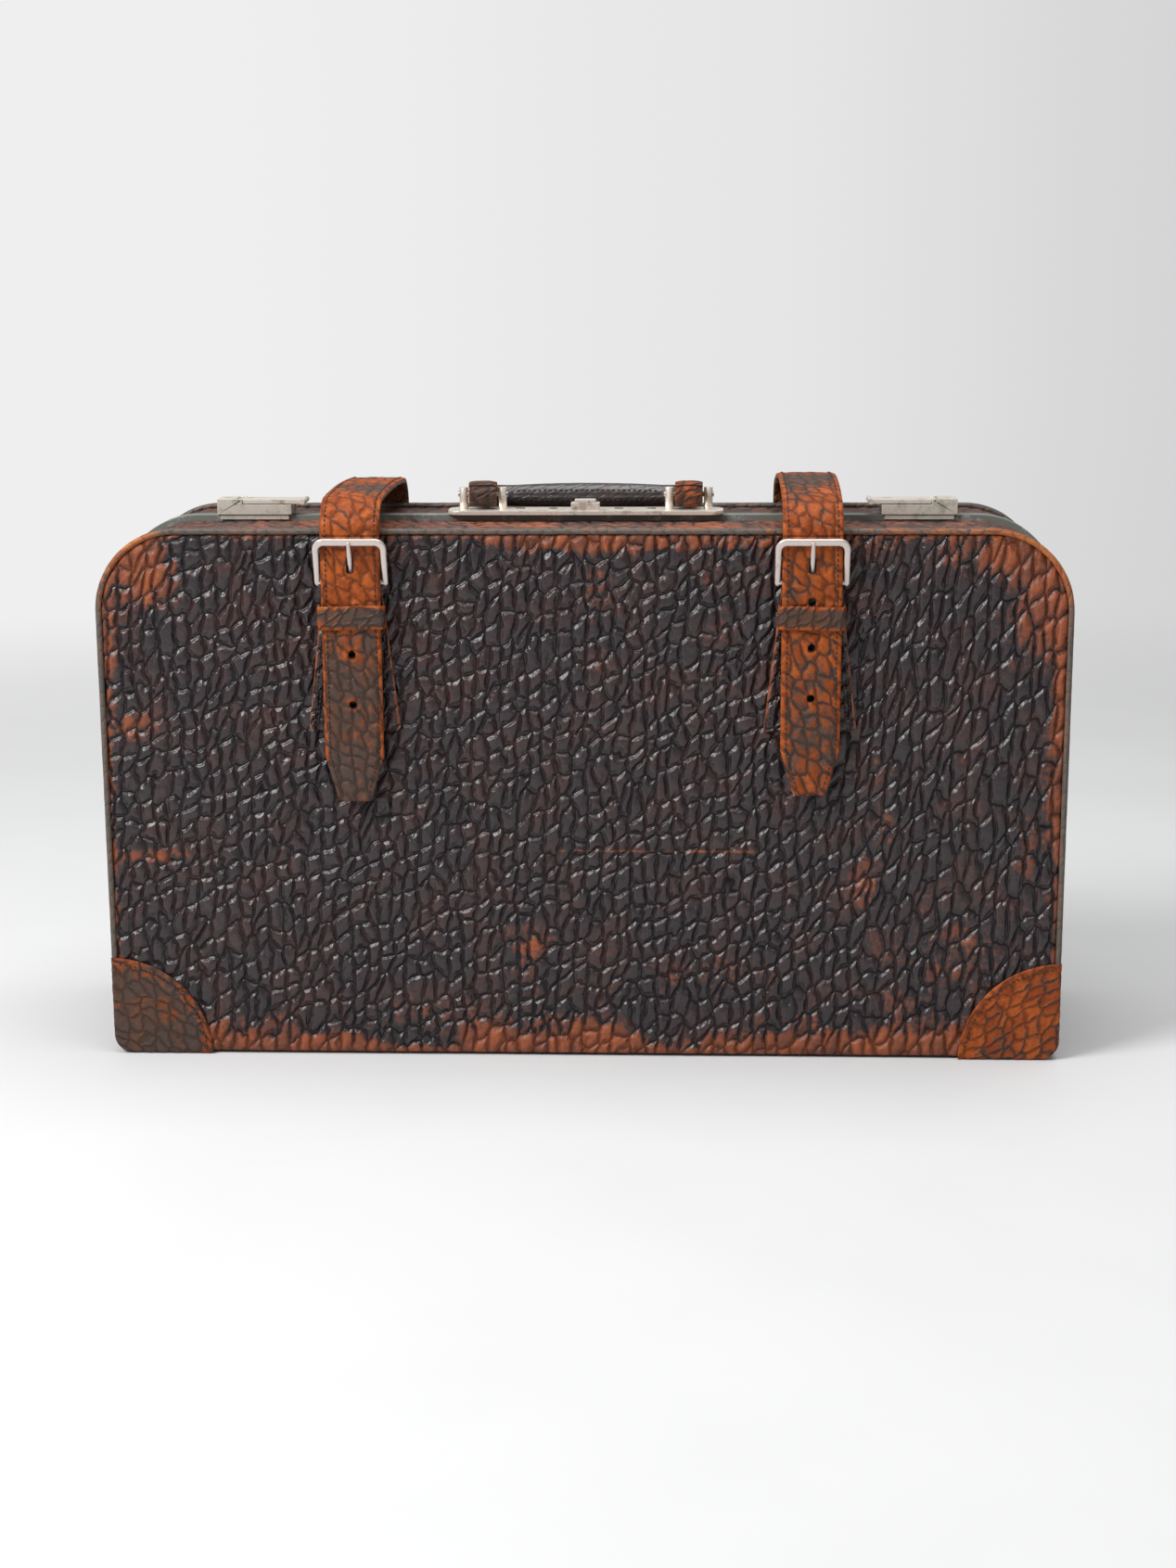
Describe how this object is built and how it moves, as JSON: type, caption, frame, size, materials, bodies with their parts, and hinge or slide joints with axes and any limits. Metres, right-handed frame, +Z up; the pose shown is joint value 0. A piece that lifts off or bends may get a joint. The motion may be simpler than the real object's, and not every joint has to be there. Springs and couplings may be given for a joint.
{
  "type": "framed leather travelling bag",
  "caption": "Framed leather travelling bag: two rigid halves on a bottom hinge, folding handle, lever latches, slide lock and two buckled straps.",
  "frame": {"origin": "on the table under the middle of the closed bag, in the plane where the two halves meet", "axes": "+X to the right of someone who faces the buckles, -Y out of the front panel, +Z up"},
  "size_m": [0.632, 0.1923, 0.3808],
  "materials": {
    "hide": "very dark shrunken-grain leather, worn rust-orange at its edges, semi-gloss",
    "tan_hide": "worn tan-orange leather with dark crackle, raw edges, satin",
    "welt_hide": "dark grey-green welt leather, worn tan at the corners, satin",
    "top_hide": "reddish-brown gusset leather, satin",
    "frame": "grey-green painted steel, rubbed, satin",
    "nickel": "old nickel plate, satin, tarnished in the corners",
    "steel": "plain steel, satin",
    "board": "compressed fibre board, matte",
    "lining": "tan cotton lining, matte"
  },
  "bodies": {
    "rear_half": {"rear_panel": "hide", "rear_board": "board", "rear_gusset": "top_hide", "rear_bottom": "hide", "rear_welt": "welt_hide", "rear_lining": "lining", "rear_frame": "frame", "rear_corner_left": "tan_hide", "rear_corner_right": "tan_hide", "bottom_hinge": "hide", "hinge_rivets": "steel", "handle_plate": "nickel", "handle_posts": "nickel", "handle_pins": "steel", "plate_rivets": "steel", "lock_case": "nickel", "left_latch_base": "nickel", "right_latch_base": "nickel", "left_latch_pin": "steel", "right_latch_pin": "steel", "left_strap_anchor": "tan_hide", "right_strap_anchor": "tan_hide", "anchor_rivets": "nickel"},
    "front_half": {"front_panel": "hide", "front_board": "board", "front_gusset": "top_hide", "front_bottom": "hide", "front_welt": "welt_hide", "front_lining": "lining", "front_frame": "frame", "front_corner_left": "tan_hide", "front_corner_right": "tan_hide", "left_chape": "hide", "right_chape": "hide", "left_keeper": "tan_hide", "right_keeper": "tan_hide", "left_catch": "nickel", "right_catch": "nickel", "lock_catch": "steel"},
    "handle": {"handle_grip": "hide", "handle_core": "steel", "left_handle_loop": "tan_hide", "right_handle_loop": "tan_hide"},
    "left_lever": {"left_latch_lever": "nickel"},
    "right_lever": {"right_latch_lever": "nickel"},
    "lock": {"lock_slide": "nickel"},
    "left_strap_over": {"left_strap": "tan_hide"},
    "left_strap_end": {"left_strap_tail": "tan_hide"},
    "right_strap_over": {"right_strap": "tan_hide"},
    "right_strap_end": {"right_strap_tail": "tan_hide"},
    "left_buckle_frame": {"left_buckle": "nickel"},
    "right_buckle_frame": {"right_buckle": "nickel"},
    "left_buckle_prong": {"left_prong": "nickel"},
    "right_buckle_prong": {"right_prong": "nickel"}
  },
  "joints": [
    {"name": "bag_open", "type": "hinge", "parent": "rear_half", "child": "front_half", "pos_m": [0, 0, 0.0055], "axis": [1, 0, 0], "range_deg": [0, 150], "deforming": ["bottom_hinge"]},
    {"name": "handle_swing", "type": "hinge", "parent": "rear_half", "child": "handle", "pos_m": [0, 0.002, 0.367], "axis": [1, 0, 0], "range_deg": [0, 190]},
    {"name": "left_latch_lift", "type": "hinge", "parent": "rear_half", "child": "left_lever", "pos_m": [-0.2323, 0.002, 0.363], "axis": [0, -1, 0], "range_deg": [0, 75]},
    {"name": "right_latch_lift", "type": "hinge", "parent": "rear_half", "child": "right_lever", "pos_m": [0.2323, 0.002, 0.363], "axis": [0, 1, 0], "range_deg": [0, 75]},
    {"name": "lock_release", "type": "slide", "parent": "rear_half", "child": "lock", "axis": [1, 0, 0], "range_m": [0, 0.004], "stiffness_N_per_m": 60},
    {"name": "left_strap_lift", "type": "hinge", "parent": "rear_half", "child": "left_strap_over", "pos_m": [-0.1475, 0.08475, 0.345], "axis": [-1, 0, 0], "range_deg": [0, 150], "deforming": ["left_strap"]},
    {"name": "right_strap_lift", "type": "hinge", "parent": "rear_half", "child": "right_strap_over", "pos_m": [0.1475, 0.08475, 0.345], "axis": [-1, 0, 0], "range_deg": [0, 150], "deforming": ["right_strap"]},
    {"name": "left_strap_fold", "type": "hinge", "parent": "left_strap_over", "child": "left_strap_end", "pos_m": [-0.1475, -0.08975, 0.349], "axis": [-1, 0, 0], "range_deg": [0, 90], "deforming": ["left_strap_tail"]},
    {"name": "right_strap_fold", "type": "hinge", "parent": "right_strap_over", "child": "right_strap_end", "pos_m": [0.1475, -0.08975, 0.349], "axis": [-1, 0, 0], "range_deg": [0, 90], "deforming": ["right_strap_tail"]},
    {"name": "left_buckle_swing", "type": "hinge", "parent": "front_half", "child": "left_buckle_frame", "pos_m": [-0.1475, -0.0852, 0.319], "axis": [1, 0, 0], "range_deg": [0, 65]},
    {"name": "right_buckle_swing", "type": "hinge", "parent": "front_half", "child": "right_buckle_frame", "pos_m": [0.1475, -0.0852, 0.319], "axis": [1, 0, 0], "range_deg": [0, 65]},
    {"name": "left_prong_swing", "type": "hinge", "parent": "left_buckle_frame", "child": "left_buckle_prong", "pos_m": [-0.1475, -0.0852, 0.319], "axis": [1, 0, 0], "range_deg": [0, 45]},
    {"name": "right_prong_swing", "type": "hinge", "parent": "right_buckle_frame", "child": "right_buckle_prong", "pos_m": [0.1475, -0.0852, 0.319], "axis": [1, 0, 0], "range_deg": [0, 45]}
  ],
  "couplings": [
    {"joint": "left_strap_fold", "follows": "left_strap_lift", "ratio": 0.6},
    {"joint": "right_strap_fold", "follows": "right_strap_lift", "ratio": 0.6}
  ]
}
